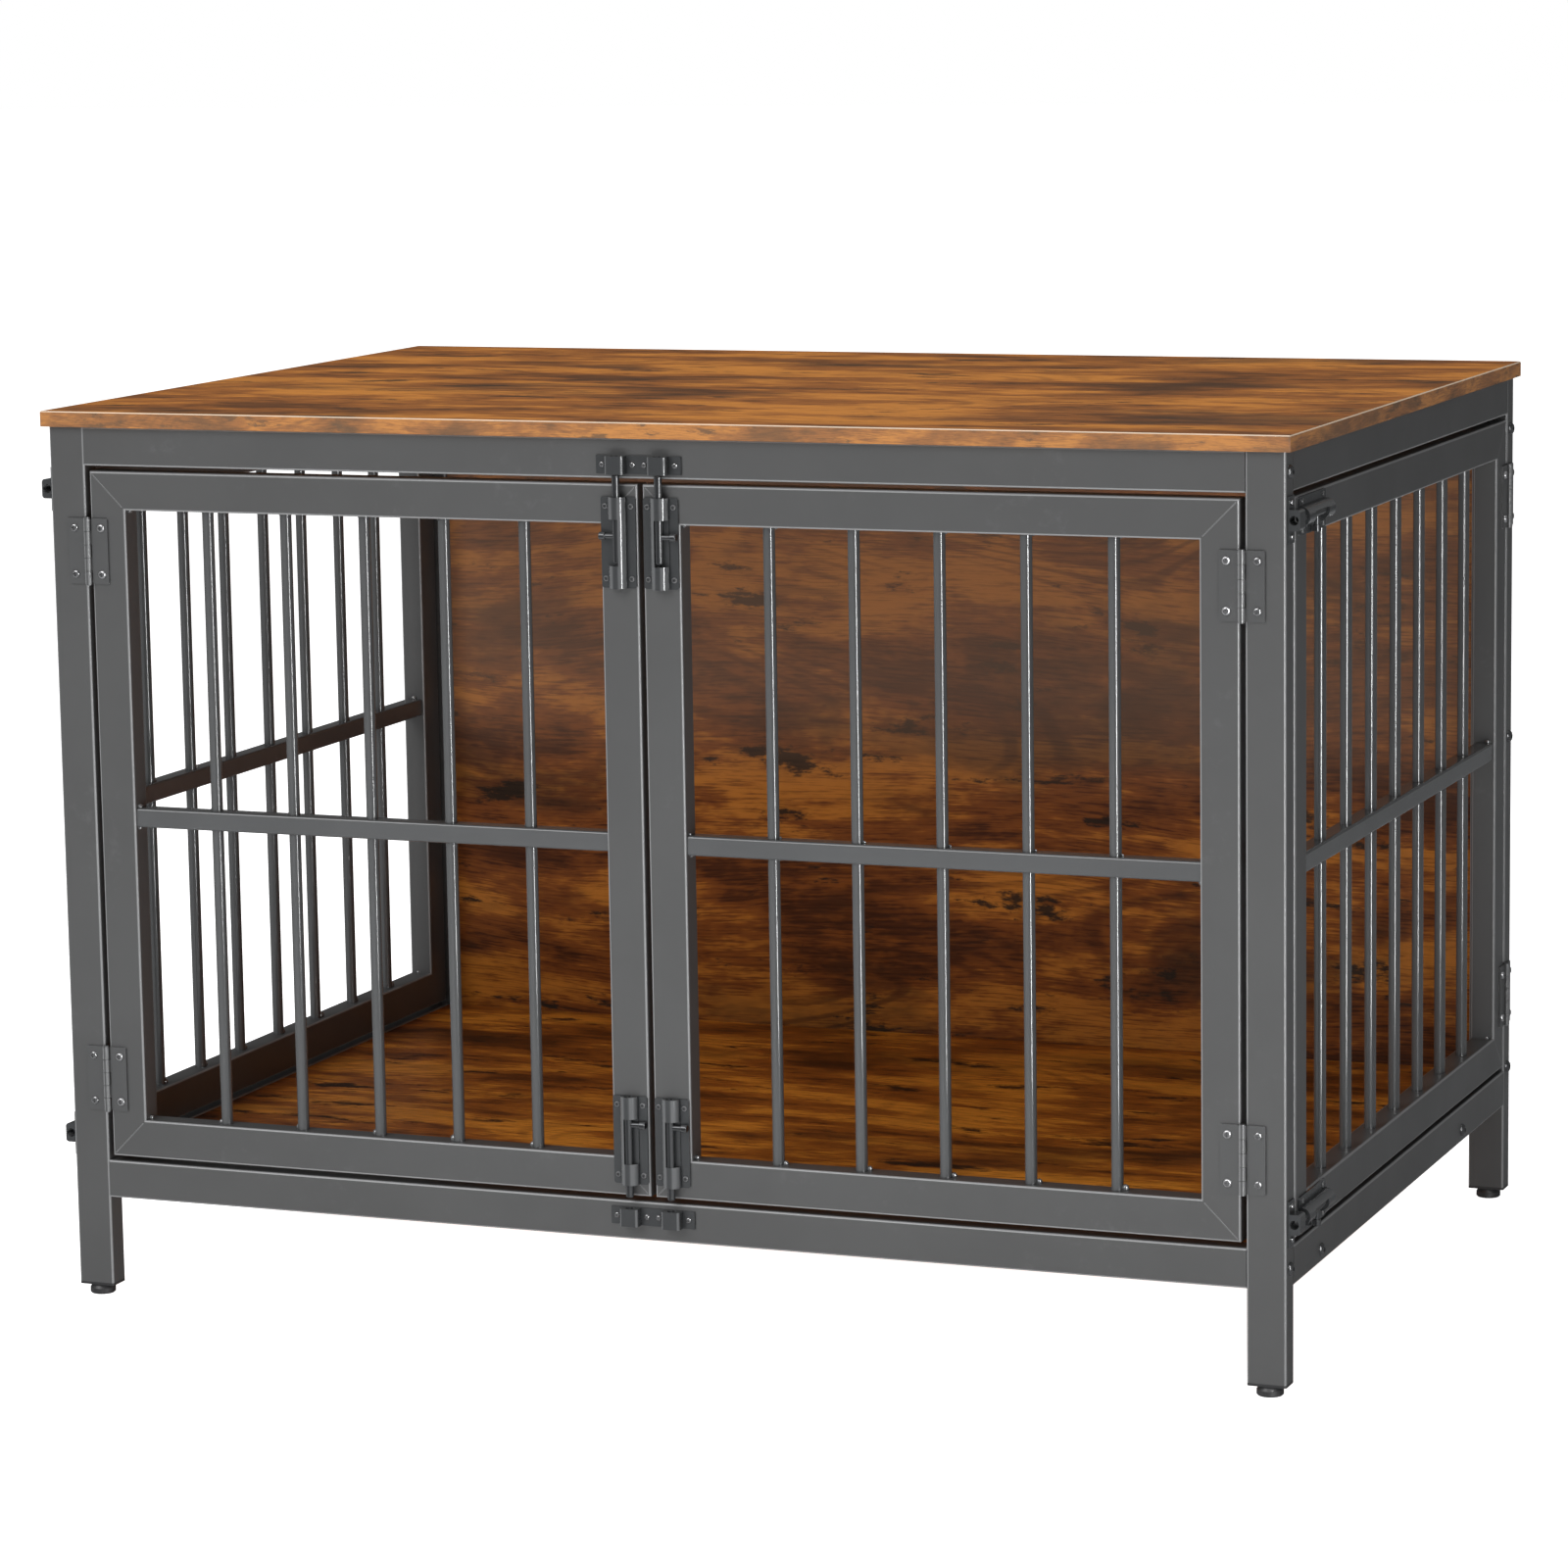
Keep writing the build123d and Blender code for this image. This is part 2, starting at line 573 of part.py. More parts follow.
with BuildPart() as hinge_pins:
    for face, pin_u, reach, free_edge, bars in DOORS.values():
        pin = on_face(face, pin_u, 0, PIN_OUT).origin
        for v in HINGE_V:
            low = v - HINGE_TALL / 2
            for z, radius, tall in ((low, PIN_R, HINGE_TALL), (low - PIN_HEAD + 0.1, PIN_HEAD_R, PIN_HEAD),
                                    (low + HINGE_TALL - 0.1, PIN_HEAD_R, PIN_HEAD)):
                with BuildSketch(Plane.XY.offset(z)):
                    with Locations((pin.X, pin.Y)):
                        Circle(radius)
                extrude(amount=tall)
save(hinge_pins.part, "hinge_pins")


# ---------------------------------------------------------------- doors
def mitred_frame(face, u0, v0, u1, v1, drill_holes):
    """Four hollow tubes, mitred at the corners, as four solids."""
    def ring(inset):
        return [(u0 + inset, v0 + inset), (u1 - inset, v0 + inset),
                (u1 - inset, v1 - inset), (u0 + inset, v1 - inset)]

    outer, inner = ring(0), ring(TUBE_WIDE)
    bore_out, bore_in = ring(TUBE_WALL), ring(TUBE_WIDE - TUBE_WALL)
    tubes = []
    for i in range(4):
        j = (i + 1) % 4
        run = Axis((0, 0, 0), face.x_dir) if i % 2 == 0 else Axis.Z
        with BuildPart() as tube:
            with BuildSketch(face):
                outline([outer[i], outer[j], inner[j], inner[i]])
            extrude(amount=-TUBE_DEEP)
            fillet(tube.edges().filter_by(run), TUBE_CORNER)
            with BuildSketch(face.offset(-TUBE_WALL)):
                outline([bore_out[i], bore_out[j], bore_in[j], bore_in[i]])
            extrude(amount=2 * TUBE_WALL - TUBE_DEEP, mode=Mode.SUBTRACT)
            drill_holes()
        tubes.append(tube.part)
    return tubes


def door_grille(face, u0, u1, bars):
    """The mid rail and the two runs of round bars, welded into the door frame."""
    middle = (DOOR_LOW + DOOR_HIGH) / 2
    depth = -TUBE_DEEP / 2
    pieces = [straight_tube(end_plane(on_face(face, u0, middle, depth), 0), MID_RAIL, MID_RAIL, u1 - u0)]
    spacing = (u1 - u0) / (bars + 1)
    bar_us = [u0 + spacing * (k + 1) for k in range(bars)]
    runs = ((DOOR_LOW + TUBE_WIDE, middle - MID_RAIL / 2), (middle + MID_RAIL / 2, DOOR_HIGH - TUBE_WIDE))
    for low, high in runs:
        for u in bar_us:
            foot = on_face(face, u, 0, depth).origin
            with BuildPart() as bar:
                with BuildSketch(Plane.XY.offset(low)):
                    with Locations((foot.X, foot.Y)):
                        Circle(BAR_R)
                extrude(amount=high - low)
            pieces.append(bar.part)
    return pieces


def bolt_housing(body, side):
    """Barrel bolt body: a plate with a bored barrel, open on the knob's side for its travel."""
    cut_low = ROD_OUT - STEM_R - STEM_CLEAR
    cut_y = (BARREL_WIDE / 2 + 1 - STEM_R - STEM_CLEAR) / 2
    with BuildPart() as housing:
        with BuildSketch(body):
            RectangleRounded(BOLT_LONG, BOLT_PLATE, PLATE_CORNER)
        extrude(amount=PLATE)
        with BuildSketch(end_plane(body, -BOLT_LONG / 2)):
            with BuildLine():
                Polyline((-BARREL_WIDE / 2, BARREL_SIDE), (-BARREL_WIDE / 2, 0), (BARREL_WIDE / 2, 0),
                         (BARREL_WIDE / 2, BARREL_SIDE))
                ThreePointArc(
                    (BARREL_WIDE / 2, BARREL_SIDE), (0, BARREL_HIGH), (-BARREL_WIDE / 2, BARREL_SIDE)
                )
            make_face()
        extrude(amount=BOLT_LONG)
        drill(end_plane(body, BOLT_LONG / 2 + 1), [(0, ROD_OUT)], ROD_R + ROD_FIT, BOLT_LONG + 2)
        with BuildSketch(body.offset(cut_low)):
            with Locations(((WINDOW_BACK + WINDOW_FRONT) / 2, side * cut_y)):
                Rectangle(WINDOW_FRONT - WINDOW_BACK, BARREL_WIDE / 2 + 1 + STEM_R + STEM_CLEAR)
        extrude(amount=BARREL_HIGH, mode=Mode.SUBTRACT)
        drill(body.offset(PLATE + 1), [(x, y) for x in (-BOLT_SCREW_X, BOLT_SCREW_X)
                                      for y in (-BOLT_SCREW_Y, BOLT_SCREW_Y)], SMALL_HOLE_R, PLATE + 2)
    return housing.part


def bolt_rod(body, knob_x, tip):
    """The sliding rod, from behind the knob to its chamfered tip."""
    with BuildPart() as rod:
        with BuildSketch(end_plane(body, knob_x - ROD_TAIL)):
            with Locations((0, ROD_OUT)):
                Circle(ROD_R)
        extrude(amount=ROD_TAIL + tip)
        chamfer(rod.edges().filter_by(GeomType.CIRCLE), ROD_CHAMFER)
    return rod.part


def bolt_knob(body, knob_x, side):
    """The knob and its stem, seated on the rod and square to it."""
    root = body.from_local_coords((knob_x, 0, ROD_OUT))
    stem = Plane(origin=root, x_dir=body.x_dir, z_dir=body.y_dir * side)
    with BuildPart() as knob:
        with BuildSketch(stem.offset(KNOB_START)):
            Circle(KNOB_R)
        extrude(amount=KNOB_REACH - KNOB_START)
        fillet(knob.edges().filter_by(GeomType.CIRCLE), KNOB_ROUND)
        with BuildSketch(stem.offset(ROD_R - 1)):
            Circle(STEM_R)
        extrude(amount=KNOB_START + 2 - ROD_R)
        drill(end_plane(body, knob_x + KNOB_R, 0, ROD_OUT), [(0, 0)], ROD_R + PIN_FIT, 2 * KNOB_R)
    return knob.part


def keeper(plane):
    """Bridge that catches the rod: two screwed feet and a bored hump."""
    with BuildPart() as bridge:
        with BuildSketch(plane):
            Rectangle(KEEPER_LONG, KEEPER_WIDE)
        extrude(amount=PLATE)
        with BuildSketch(end_plane(plane, -KEEPER_LONG / 2)):
            with Locations((0, KEEPER_HIGH / 2)):
                Rectangle(KEEPER_HUMP, KEEPER_HIGH)
        extrude(amount=KEEPER_LONG)
        top = bridge.faces().sort_by(Axis(plane.origin, plane.z_dir))[-1]
        fillet(top.edges().filter_by(Axis(plane.origin, plane.x_dir)), KEEPER_ROUND)
        drill(end_plane(plane, KEEPER_LONG), [(0, ROD_OUT)], KEEPER_HOLE_R, 2 * KEEPER_LONG)
        drill(plane.offset(PLATE + 1), [(0, -KEEPER_SCREW_Y), (0, KEEPER_SCREW_Y)], SMALL_HOLE_R, PLATE + 2)
    return bridge.part


keepers = [keeper(frames[1]) for name in DOORS for frames in bolt_frames(name).values()]
save_group(keepers, "bolt_keepers")

for name, (face, pin_u, reach, free_edge, bars) in DOORS.items():
    u0, u1 = sorted((pin_u + reach * DOOR_GAP / 2, free_edge))
    small_points = as_points(face, bolt_screw_planes(name, 0))

    def door_holes():
        drill(face, hinge_screw_points(pin_u, reach), SCREW_HOLE_R, HOLE_DEPTH)
        drill(face, small_points, SMALL_HOLE_R, HOLE_DEPTH)

    save_group(mitred_frame(face, u0, DOOR_LOW, u1, DOOR_HIGH, door_holes), name + "_frame")
    save_group(door_grille(face, u0 + TUBE_WIDE, u1 - TUBE_WIDE, bars), name + "_grille")
    save_group([hinge_leaf(face, pin_u, v, reach, DOOR_KNUCKLES) for v in HINGE_V], name + "_hinge_leaves")

    with BuildPart() as door_screws:
        points = hinge_screw_points(pin_u, reach)
        add(placed(hinge_screw, [on_face(face, u, v, PLATE) for u, v in points]))
        add(placed(small_screw, bolt_screw_planes(name, PLATE)))
    save(door_screws.part, name + "_screws")

    frames = bolt_frames(name)
    housings = [bolt_housing(frames[end][0], KNOB_SIDE[name, end]) for end in frames]
    save_group(housings, name + "_bolt_housings")
    for end, (body, keeper_plane) in frames.items():
        knob_x, tip = knob_place(name, end)
        bolt_name = name.replace("door", end) + "_bolt"
        save(bolt_rod(body, knob_x, tip), bolt_name + "_rod")
        save(bolt_knob(body, knob_x, KNOB_SIDE[name, end]), bolt_name + "_knob")
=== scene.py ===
"""Looks of a furniture-style dog crate: powder-coated tube, barred doors, printed wood boards.

Metres, +Z up, the front towards -Y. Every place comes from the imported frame.
"""

import math
import random

import bmesh
import bpy
from mathutils import Matrix, Vector


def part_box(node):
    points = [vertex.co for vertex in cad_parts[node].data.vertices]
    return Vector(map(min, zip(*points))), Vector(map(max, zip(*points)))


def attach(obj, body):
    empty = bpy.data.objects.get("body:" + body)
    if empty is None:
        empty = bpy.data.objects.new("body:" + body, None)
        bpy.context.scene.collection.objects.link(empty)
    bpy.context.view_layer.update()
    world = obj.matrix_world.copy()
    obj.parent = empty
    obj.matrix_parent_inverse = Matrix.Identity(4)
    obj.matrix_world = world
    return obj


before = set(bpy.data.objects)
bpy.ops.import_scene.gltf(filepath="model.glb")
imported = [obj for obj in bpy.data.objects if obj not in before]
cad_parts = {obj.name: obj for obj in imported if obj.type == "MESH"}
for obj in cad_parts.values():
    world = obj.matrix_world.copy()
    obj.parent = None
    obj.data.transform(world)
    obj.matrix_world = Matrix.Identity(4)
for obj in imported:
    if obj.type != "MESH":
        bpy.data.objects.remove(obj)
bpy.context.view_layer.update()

MM = 0.001
DOORS = ("left_front_door", "right_front_door", "right_side_door", "left_side_door")
BOLTS = [door.replace("door", end) + "_bolt" for door in DOORS for end in ("upper", "lower")]
CORNERS = [f"{end}_{side}" for end in ("front", "back") for side in ("left", "right")]

# Door frame and grille sizes that the weld tacks and mitre seams follow.
TUBE_WIDE = 30 * MM
TUBE_DEEP = 20 * MM
MID_RAIL = 15 * MM
BAR_R = 4.5 * MM
FRONT_BARS = 5
SIDE_BARS = 7
TACK = 2.6 * MM
SEAM_INSET = 2.5 * MM
SEAM_WIDE = 0.9 * MM
SEAM_HIGH = 0.12 * MM

# Orange peel of the powder coat, in bumps over a metre, and its depth.
PEEL_SIZE = 700.0
SCREW_PEEL_SIZE = 1500.0
PEEL_DEPTH = 0.4 * MM
GRAIN_DEPTH = 0.3 * MM

# Bolt screws lie this near the middle on a front door, and this far out on a side door.
FRONT_BOLTS_WITHIN = 60 * MM
SIDE_BOLTS_BEYOND = 480 * MM

# The back panel's greyer tint, a painted reflection of satin sheen, starts and is full at these heights.
PAINTED_SHEEN_LOW = 300 * MM
PAINTED_SHEEN_HIGH = 430 * MM


# ---------------------------------------------------------------- shader helpers
def node(tree, kind, inputs=None, **settings):
    """Adds a shader node, sets its fields, and feeds its sockets with values or with other sockets."""
    made = tree.nodes.new(kind)
    for field, value in settings.items():
        setattr(made, field, value)
    for socket, value in (inputs or {}).items():
        if isinstance(value, bpy.types.NodeSocket):
            tree.links.new(value, made.inputs[socket])
        else:
            made.inputs[socket].default_value = value
    return made


def maths(tree, operation, *values):
    """A Math node's result."""
    made = node(tree, "ShaderNodeMath", dict(enumerate(values)), operation=operation)
    return made.outputs[0]


def between(tree, value, low, high, to_low=0.0, to_high=1.0):
    """Value eased from one range to another, held at the ends."""
    inputs = {"Value": value, "From Min": low, "From Max": high, "To Min": to_low, "To Max": to_high}
    made = node(tree, "ShaderNodeMapRange", inputs, interpolation_type="SMOOTHSTEP")
    return made.outputs["Result"]


def tint(tree, share, base, other, blend="MIX"):
    """Base colour mixed with another by a share."""
    made = node(tree, "ShaderNodeMix", data_type="RGBA", blend_type=blend)
    for place, value in ((0, share), (6, base), (7, other)):
        if isinstance(value, bpy.types.NodeSocket):
            tree.links.new(value, made.inputs[place])
        else:
            made.inputs[place].default_value = value
    return made.outputs[2]


def noise(tree, place, scale, detail=2.0, roughness=0.5):
    """A noise field's value."""
    inputs = {"Vector": place, "Scale": scale, "Detail": detail, "Roughness": roughness}
    return node(tree, "ShaderNodeTexNoise", inputs).outputs["Fac"]


def stretched(tree, place, sizes, shift):
    """The place scaled differently along each axis, so that a field stretches along the grain."""
    inputs = {"Vector": place, "Scale": sizes, "Location": shift}
    return node(tree, "ShaderNodeMapping", inputs).outputs["Vector"]


def effect_group(name, inputs, outputs):
    """An empty shader node group with named sockets, and its two end nodes."""
    group = bpy.data.node_groups.new(name, "ShaderNodeTree")
    for label, kind, value in inputs:
        socket = group.interface.new_socket(label, in_out="INPUT", socket_type=kind)
        if value is not None:
            socket.default_value = value
    for label, kind in outputs:
        group.interface.new_socket(label, in_out="OUTPUT", socket_type=kind)
    return group, group.nodes.new("NodeGroupInput").outputs, group.nodes.new("NodeGroupOutput").inputs


def place_group(tree, group, **inputs):
    """Puts an effect group into a material. Input names use _ for a space."""
    made = node(tree, "ShaderNodeGroup", node_tree=group)
    for label, value in inputs.items():
        socket = made.inputs[label.replace("_", " ")]
        if isinstance(value, bpy.types.NodeSocket):
            tree.links.new(value, socket)
        else:
            socket.default_value = value
    return made.outputs


# ---------------------------------------------------------------- effects
def rounded_edge_effect():
    """Mask of the rounded edges of tube and plate, which the finishes lighten as a painted highlight."""
    group, given, result = effect_group(
        "rounded_edges",
        [("Start", "NodeSocketFloat", 0.998), ("Full", "NodeSocketFloat", 0.9)],
        [("Edge", "NodeSocketFloat")],
    )
    turned = node(group, "ShaderNodeTexCoord").outputs["Normal"]
    parts = node(group, "ShaderNodeSeparateXYZ", {0: turned}).outputs
    sizes = [maths(group, "ABSOLUTE", part) for part in parts]
    squarest = maths(group, "MAXIMUM", maths(group, "MAXIMUM", sizes[0], sizes[1]), sizes[2])
    edge = between(group, squarest, given["Start"], given["Full"])
    group.links.new(edge, result["Edge"])
    return group


def powder_effect():
    """Orange peel, slow mottling and faint rub marks of a powder coat."""
    group, given, result = effect_group(
        "powder_coat_skin",
        [("Peel Size", "NodeSocketFloat", PEEL_SIZE)],
        [("Height", "NodeSocketFloat"), ("Mottle", "NodeSocketFloat"), ("Rub", "NodeSocketFloat")],
    )
    place = node(group, "ShaderNodeTexCoord").outputs["Object"]
    peel = noise(group, place, given["Peel Size"], 3.0, 0.55)
    mottle = noise(group, place, 9.0, 3.0, 0.6)
    fine_rub = noise(group, place, 90.0, 4.0, 0.7)
    patches = between(group, noise(group, place, 14.0, 2.0), 0.5, 0.72)
    rub = maths(group, "MULTIPLY", between(group, fine_rub, 0.52, 0.75), patches)
    group.links.new(peel, result["Height"])
    group.links.new(mottle, result["Mottle"])
    group.links.new(rub, result["Rub"])
    return group


def board_lay_effect():
    """Place on a board as (along the grain, across it, seed), with finer grain on its edge bands."""
    group, given, result = effect_group(
        "board_lay",
        [("Seed", "NodeSocketFloat", 0.0), ("Band Fineness", "NodeSocketFloat", 1.0)],
        [("Place", "NodeSocketVector")],
    )
    coords = node(group, "ShaderNodeTexCoord").outputs
    x, y, z = node(group, "ShaderNodeSeparateXYZ", {0: coords["Object"]}).outputs
    turned = node(group, "ShaderNodeSeparateXYZ", {0: coords["Normal"]}).outputs
    on_end = maths(group, "GREATER_THAN", maths(group, "ABSOLUTE", turned["X"]), 0.7)
    on_flat = maths(group, "GREATER_THAN", maths(group, "ABSOLUTE", turned["Z"]), 0.7)

    def either(share, base, other):
        made = node(group, "ShaderNodeMix", {0: share, 2: base, 3: other}, data_type="FLOAT")
        return made.outputs[0]

    along = either(on_end, x, y)
    across = either(on_flat, z, y)
    fineness = either(on_flat, given["Band Fineness"], 1.0)
    seed = maths(group, "ADD", given["Seed"], maths(group, "MULTIPLY", on_end, 3.7))
    along = maths(group, "MULTIPLY", along, fineness)
    across = maths(group, "MULTIPLY", across, fineness)
    place = node(group, "ShaderNodeCombineXYZ", {0: along, 1: across, 2: seed})
    group.links.new(place.outputs[0], result["Place"])
    return group


def rustic_print_effect():
    """Printed rustic wood: warm streaks, ring figure, fibres, and charcoal clouds, smudges and knots."""
    group, given, result = effect_group(
        "rustic_wood_print",
        [
            ("Place", "NodeSocketVector", None),
            ("Dark Wood", "NodeSocketColor", (0.085, 0.032, 0.012, 1)),
            ("Mid Wood", "NodeSocketColor", (0.2, 0.08, 0.026, 1)),
            ("Light Wood", "NodeSocketColor", (0.42, 0.19, 0.06, 1)),
            ("Charcoal", "NodeSocketColor", (0.024, 0.02, 0.017, 1)),
            ("Clouds", "NodeSocketFloat", 0.5),
            ("Smudges", "NodeSocketFloat", 0.8),
            ("Rings", "NodeSocketFloat", 0.5),
        ],
        [("Colour", "NodeSocketColor"), ("Height", "NodeSocketFloat"), ("Dark", "NodeSocketFloat")],
    )

    def times(a, b):
        return maths(group, "MULTIPLY", a, b)

    def plus(a, b):
        return maths(group, "ADD", a, b)

    def field(place, along, across, shift, detail=3.0, roughness=0.6):
        laid = stretched(group, place, (along, across, 1.0), shift)
        return noise(group, laid, 1.0, detail, roughness)

    # The grain wanders slowly along the board.
    place = given["Place"]
    wander = plus(field(place, 2.0, 5.0, (0, 0, 0), 1.0), -0.5)
    shift = node(group, "ShaderNodeCombineXYZ", {1: times(wander, 0.07)}).outputs[0]
    lay = node(group, "ShaderNodeVectorMath", {0: place, 1: shift}, operation="ADD").outputs[0]

    # Warm wood: blotchy tone, streaks and fine fibres.
    tone = between(group, field(lay, 4.4, 13.0, (0, 0, 0), 5.0, 0.66), 0.33, 0.63)
    streak = between(group, field(lay, 10.0, 90.0, (7, 0, 2), 3.0), 0.34, 0.66)
    fibre = between(group, field(lay, 24.0, 460.0, (0, 3, 5), 3.0, 0.7), 0.34, 0.66)
    warmth = plus(plus(times(tone, 0.68), times(streak, 0.16)), times(fibre, 0.16))
    low = tint(group, between(group, warmth, 0.15, 0.5), given["Dark Wood"], given["Mid Wood"])
    wood = tint(group, between(group, warmth, 0.5, 0.85), low, given["Light Wood"])

    # Ring figure: level lines of a slow smooth field, kept to a few patches.
    levels = maths(group, "SINE", times(field(lay, 2.4, 8.0, (0, 5, 4), 0.0), 150.0))
    patch = between(group, field(lay, 3.4, 7.0, (1, 2, 9), 1.0), 0.52, 0.62)
    ring = times(times(between(group, levels, 0.1, 1.0), patch), given["Rings"])

    # Charcoal: broad clouds, and ragged smudges with streaked ends.
    torn = times(plus(fibre, -0.5), 0.04)
    cloud = between(group, plus(field(lay, 2.8, 7.0, (4, 0, 6), 5.0, 0.64), torn), 0.52, 0.64)
    cloud = times(cloud, given["Clouds"])
    blot = plus(field(lay, 9.0, 30.0, (2, 9, 1), 6.0, 0.7), torn)
    smudge = times(between(group, blot, 0.575, 0.64), given["Smudges"])

    wood = tint(group, ring, wood, given["Dark Wood"])
    wood = tint(group, cloud, wood, given["Charcoal"])
    wood = tint(group, smudge, wood, given["Charcoal"])
    lines = between(group, fibre, 0.0, 0.55, 0.66, 1.0)
    grey = node(group, "ShaderNodeCombineColor", {0: lines, 1: lines, 2: lines}).outputs[0]
    wood = tint(group, 1.0, wood, grey, "MULTIPLY")

    group.links.new(wood, result["Colour"])
    group.links.new(fibre, result["Height"])
    group.links.new(maths(group, "MAXIMUM", smudge, cloud), result["Dark"])
    return group


EDGES = rounded_edge_effect()
POWDER = powder_effect()
BOARD_LAY = board_lay_effect()
RUSTIC_PRINT = rustic_print_effect()


# ---------------------------------------------------------------- materials
def new_material(name):
    """A material with its Principled shader, ready for the finish."""
    made = bpy.data.materials.new(name)
    made.use_nodes = True
    tree = made.node_tree
    return made, tree, tree.nodes["Principled BSDF"].inputs


def powder_coat(name, colour, highlight_and_rub_colour, roughness, highlight_share, peel=0.1, metallic=0.0):
    """Satin coat over steel: orange peel, mottling, faint rub marks, and rounded edges lightened as a
    painted highlight.
    """
    made, tree, shader = new_material(name)
    skin = place_group(tree, POWDER, Peel_Size=PEEL_SIZE)
    edge = place_group(tree, EDGES)["Edge"]
    coat, rub_and_highlight = (*colour, 1), (*highlight_and_rub_colour, 1)
    deeper = (*[part * 0.78 for part in colour], 1)
    mottled = tint(tree, between(tree, skin["Mottle"], 0.35, 0.65, 0.0, 0.35), coat, deeper)
    rubbed = tint(tree, maths(tree, "MULTIPLY", skin["Rub"], 0.06), mottled, rub_and_highlight)
    # Rounded edges are lightened towards that colour as a painted highlight.
    finish = tint(tree, maths(tree, "MULTIPLY", edge, highlight_share), rubbed, rub_and_highlight)
    tree.links.new(finish, shader["Base Color"])
    gloss = maths(tree, "ADD", maths(tree, "MULTIPLY", skin["Mottle"], 0.1), roughness - 0.05)
    gloss = maths(tree, "SUBTRACT", gloss, maths(tree, "MULTIPLY", edge, 0.1))
    tree.links.new(gloss, shader["Roughness"])
    raised = {"Height": skin["Height"], "Strength": peel, "Distance": PEEL_DEPTH}
    tree.links.new(node(tree, "ShaderNodeBump", raised).outputs[0], shader["Normal"])
    shader["Metallic"].default_value = metallic
    return made


def printed_board(name, seed, woods, charcoal, clouds, smudges, rings, roughness=0.46, fineness=1.0):
    """Melamine board with a rustic wood print and a faint embossed grain.

    Returns the material, its tree, its shader's inputs and the print's colour.
    """
    made, tree, shader = new_material(name)
    lay = place_group(tree, BOARD_LAY, Seed=seed, Band_Fineness=fineness)["Place"]
    dark, mid, light = [(*wood, 1) for wood in woods]
    grain = place_group(
        tree, RUSTIC_PRINT, Place=lay, Dark_Wood=dark, Mid_Wood=mid, Light_Wood=light,
        Charcoal=(*charcoal, 1), Clouds=clouds, Smudges=smudges, Rings=rings,
    )
    gloss = maths(tree, "ADD", maths(tree, "MULTIPLY", grain["Dark"], 0.1), roughness)
    tree.links.new(gloss, shader["Roughness"])
    raised = {"Height": grain["Height"], "Strength": 0.25, "Distance": GRAIN_DEPTH}
    tree.links.new(node(tree, "ShaderNodeBump", raised).outputs[0], shader["Normal"])
    tree.links.new(grain["Colour"], shader["Base Color"])
    shader["Specular IOR Level"].default_value = 0.2
    return made, tree, shader, grain["Colour"]


# Colour, lighter colour for rub marks and the painted edge highlight, roughness, share of the painted
# edge highlight, then peel and metallic where they differ.
FRAME_COAT = powder_coat("charcoal_powder_coat", (0.06, 0.0605, 0.061), (0.3, 0.305, 0.31), 0.4, 0.6)
# The bars carry the frame's coat, made lighter here as a painted highlight.
BAR_COAT = powder_coat(
    "charcoal_bar_coat", (0.09, 0.092, 0.094), (0.12, 0.122, 0.125), 0.2, 0.0, 0.04, 0.3
)
HINGE_COAT = powder_coat("charcoal_hinge_coat", (0.06, 0.061, 0.062), (0.26, 0.265, 0.27), 0.34, 0.5)
LATCH_COAT = powder_coat(
    "charcoal_latch_coat", (0.04, 0.042, 0.044), (0.2, 0.205, 0.21), 0.25, 0.5, 0.06, 0.2
)
ROD_STEEL = powder_coat(
    "latch_rod_steel", (0.025, 0.026, 0.028), (0.2, 0.205, 0.21), 0.2, 0.3, 0.04, 0.4
)
ZINC = powder_coat("zinc_screw", (0.24, 0.24, 0.245), (0.6, 0.6, 0.61), 0.3, 0.4, 0.05, 0.85)
BLACK_BOLT = powder_coat("black_bolt", (0.03, 0.031, 0.033), (0.12, 0.122, 0.126), 0.3, 0.4, 0.05, 0.3)
BLACK_PLASTIC = powder_coat("black_plastic", (0.02, 0.02, 0.021), (0.05, 0.05, 0.052), 0.5, 0.3, 0.2)
# The weld tacks carry the frame's coat; their lighter colour is a painted highlight, their gloss is
# real.
WELD = powder_coat("weld_tack", (0.2, 0.203, 0.208), (0.4, 0.405, 0.41), 0.16, 0.3, 0.1, 0.6)

# Each door's screws are zinc at its hinges and dark at its bolts, which lie near its free edge.
DOOR_SCREWS, tree, shader = new_material("door_screws")
screw_place = node(tree, "ShaderNodeTexCoord").outputs["Object"]
screw_x, screw_y, _ = node(tree, "ShaderNodeSeparateXYZ", {0: screw_place}).outputs
from_middle = maths(tree, "ABSOLUTE", screw_x)
at_front_bolts = maths(tree, "LESS_THAN", from_middle, FRONT_BOLTS_WITHIN)
on_side_door = maths(tree, "GREATER_THAN", from_middle, SIDE_BOLTS_BEYOND)
at_side_bolts = maths(tree, "MULTIPLY", on_side_door, maths(tree, "LESS_THAN", screw_y, 0.0))
dark_screw = maths(tree, "MAXIMUM", at_front_bolts, at_side_bolts)
edge = place_group(tree, EDGES)["Edge"]
# The screws' rounded edges are lightened as a painted highlight.
bright = tint(tree, edge, (0.24, 0.24, 0.245, 1), (0.6, 0.6, 0.61, 1))
dull = tint(tree, edge, (0.04, 0.041, 0.043, 1), (0.12, 0.122, 0.125, 1))
tree.links.new(tint(tree, dark_screw, bright, dull), shader["Base Color"])
zinc_screw = maths(tree, "SUBTRACT", 1.0, dark_screw)
tree.links.new(maths(tree, "MULTIPLY", zinc_screw, 0.85), shader["Metallic"])
grit = place_group(tree, POWDER, Peel_Size=SCREW_PEEL_SIZE)["Mottle"]
tree.links.new(maths(tree, "ADD", maths(tree, "MULTIPLY", grit, 0.2), 0.22), shader["Roughness"])

TOP_PRINT, tree, shader, colour = printed_board(
    "tabletop_print", 1.0, ((0.12, 0.042, 0.009), (0.3, 0.1, 0.016), (0.56, 0.21, 0.03)),
    (0.045, 0.026, 0.014), 0.6, 0.85, 0.3, 0.55, fineness=2.6,
)
